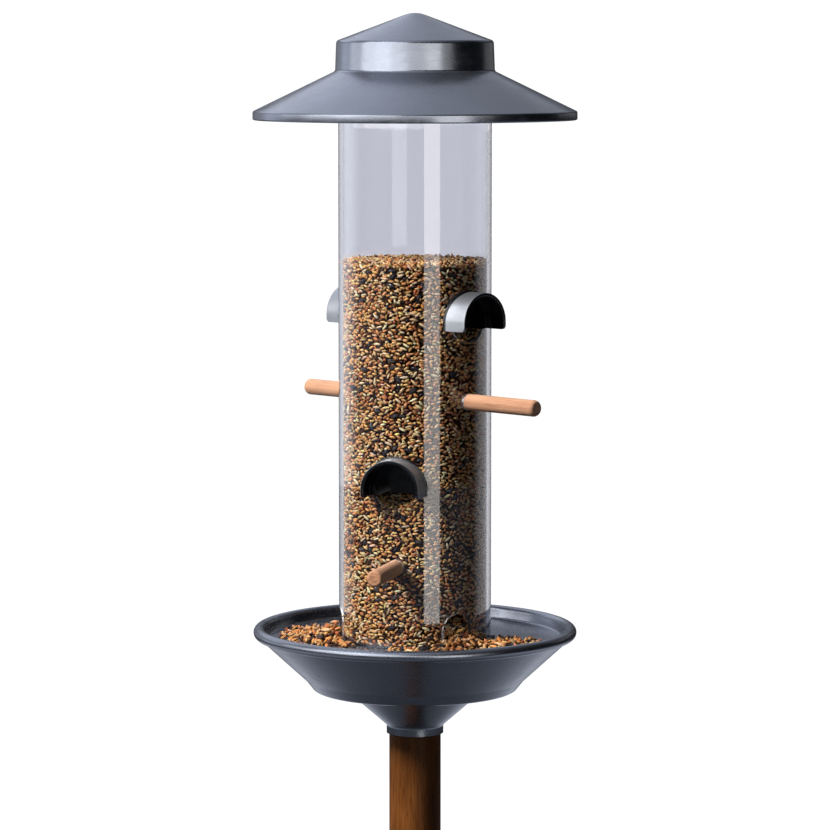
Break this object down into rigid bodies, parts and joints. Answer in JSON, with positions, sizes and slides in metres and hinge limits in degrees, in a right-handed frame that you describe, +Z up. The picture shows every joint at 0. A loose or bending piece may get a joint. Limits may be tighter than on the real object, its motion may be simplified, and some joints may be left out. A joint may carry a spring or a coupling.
{
  "type": "bird feeder on pole",
  "caption": "Clear tube bird feeder with a spun metal roof, arched port hoods, wooden through perches and a seed tray, on a stained wooden ground pole.",
  "frame": {"origin": "on the pole's axis at ground level, where the ground spike's pin meets its step plate", "axes": "+Z up along the pole and the tube; X along the upper perch and its two ports"},
  "size_m": [0.2028, 0.2, 1.271],
  "materials": {
    "roof_paint": "satin metallic grey paint on spun sheet",
    "tray_paint": "satin metallic slate paint on spun sheet",
    "clear_tube": "clear plastic tube",
    "hood_silver": "satin silver paint outside, gloss black inside",
    "black_plastic": "gloss black moulding",
    "perch_wood": "sanded light beech",
    "stained_wood": "dark brown stain with a soft sheen",
    "black_steel": "matt black powder coat",
    "zinc": "zinc plated",
    "brass": "plain brass",
    "seed_mix": "dry mixed millet, canary and dark grain"
  },
  "bodies": {
    "stand": {"ground_spike": "black_steel", "spike_screw": "zinc", "pole_lower": "stained_wood", "joining_sleeve": "black_steel", "sleeve_screws": "zinc", "pole_upper": "stained_wood", "threaded_insert": "brass", "pole_socket": "tray_paint", "bowl": "tray_paint", "spacer_sleeve": "zinc", "seed_dish": "tray_paint", "tube_seat": "black_plastic", "seat_screws": "zinc", "bolt_washer": "zinc", "centre_bolt": "zinc", "tube": "clear_tube", "hood_upper_a": "hood_silver", "hood_upper_b": "hood_silver", "hood_lower_a": "hood_silver", "hood_lower_b": "hood_silver", "baffle_upper_a": "black_plastic", "baffle_upper_b": "black_plastic", "baffle_lower_a": "black_plastic", "baffle_lower_b": "black_plastic", "seed_column": "seed_mix", "tray_seed": "seed_mix"},
    "roof": {"roof": "roof_paint"},
    "upper_perch": {"perch_upper": "perch_wood"},
    "lower_perch": {"perch_lower": "perch_wood"}
  },
  "joints": [
    {"name": "roof_lift", "type": "slide", "parent": "stand", "child": "roof", "axis": [0, 0, 1], "range_m": [0, 0.1]},
    {"name": "upper_perch_slide", "type": "slide", "parent": "stand", "child": "upper_perch", "axis": [1, 0, 0], "range_m": [-0.045, 0.045]},
    {"name": "lower_perch_slide", "type": "slide", "parent": "stand", "child": "lower_perch", "axis": [0.5, -0.866, 0], "range_m": [-0.045, 0.045]}
  ]
}
